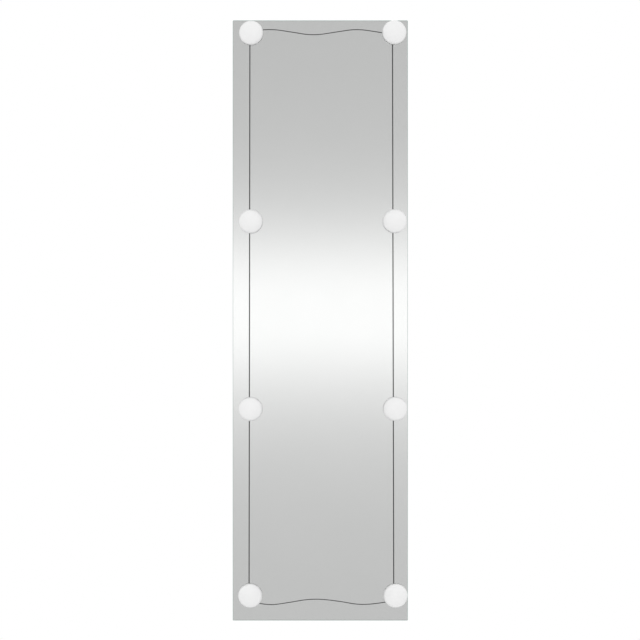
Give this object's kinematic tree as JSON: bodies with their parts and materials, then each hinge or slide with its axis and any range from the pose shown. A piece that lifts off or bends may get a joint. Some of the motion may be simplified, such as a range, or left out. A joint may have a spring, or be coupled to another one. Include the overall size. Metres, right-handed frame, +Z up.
{
  "type": "lighted wall mirror",
  "caption": "Tall frameless wall mirror with round stick-on lamps down both sides, linked by thin leads, hung from keyhole plates on its back.",
  "frame": {"origin": "on the wall plane, midway between the entry holes of the two keyholes on the hanger plates", "axes": "+Z up along the mirror's height, +X to the right seen from the room, +Y into the wall, so the mirror faces -Y"},
  "size_m": [0.35, 0.0354, 1.2],
  "materials": {
    "glass": "polished",
    "silver": "polished",
    "backing_film": "matte",
    "zinc_steel": "satin",
    "foam_tape": "matte",
    "bumper_rubber": "matte",
    "lamp_base": "satin",
    "circuit_board": "satin",
    "light_chips": "satin",
    "diffuser": "satin",
    "lead": "satin",
    "solder": "gloss",
    "gland_rubber": "matte"
  },
  "bodies": {
    "root": {"glass_pane": "glass", "hanger_plate_left": "zinc_steel", "hanger_plate_right": "zinc_steel", "hanger_tape_left": "foam_tape", "hanger_tape_right": "foam_tape", "lamp_left_1_base": "lamp_base", "lamp_left_1_board": "circuit_board", "lamp_left_1_chips": "light_chips", "lamp_left_1_diffuser": "diffuser", "lamp_left_1_pad": "foam_tape", "lamp_left_2_base": "lamp_base", "lamp_left_2_board": "circuit_board", "lamp_left_2_chips": "light_chips", "lamp_left_2_diffuser": "diffuser", "lamp_left_2_pad": "foam_tape", "lamp_left_3_base": "lamp_base", "lamp_left_3_board": "circuit_board", "lamp_left_3_chips": "light_chips", "lamp_left_3_diffuser": "diffuser", "lamp_left_3_pad": "foam_tape", "lamp_left_4_base": "lamp_base", "lamp_left_4_board": "circuit_board", "lamp_left_4_chips": "light_chips", "lamp_left_4_diffuser": "diffuser", "lamp_left_4_pad": "foam_tape", "lamp_right_1_base": "lamp_base", "lamp_right_1_board": "circuit_board", "lamp_right_1_chips": "light_chips", "lamp_right_1_diffuser": "diffuser", "lamp_right_1_pad": "foam_tape", "lamp_right_2_base": "lamp_base", "lamp_right_2_board": "circuit_board", "lamp_right_2_chips": "light_chips", "lamp_right_2_diffuser": "diffuser", "lamp_right_2_pad": "foam_tape", "lamp_right_3_base": "lamp_base", "lamp_right_3_board": "circuit_board", "lamp_right_3_chips": "light_chips", "lamp_right_3_diffuser": "diffuser", "lamp_right_3_pad": "foam_tape", "lamp_right_4_base": "lamp_base", "lamp_right_4_board": "circuit_board", "lamp_right_4_chips": "light_chips", "lamp_right_4_diffuser": "diffuser", "lamp_right_4_pad": "foam_tape", "lead_bottom": "lead", "lead_left_1": "lead", "lead_left_2": "lead", "lead_left_3": "lead", "lead_right_1": "lead", "lead_right_2": "lead", "lead_right_3": "lead", "lead_top": "lead", "power_gland": "gland_rubber", "safety_backing": "backing_film", "silver_coating": "silver", "solder_joints": "solder", "wall_bumper_left": "bumper_rubber", "wall_bumper_right": "bumper_rubber"}
  },
  "joints": []
}
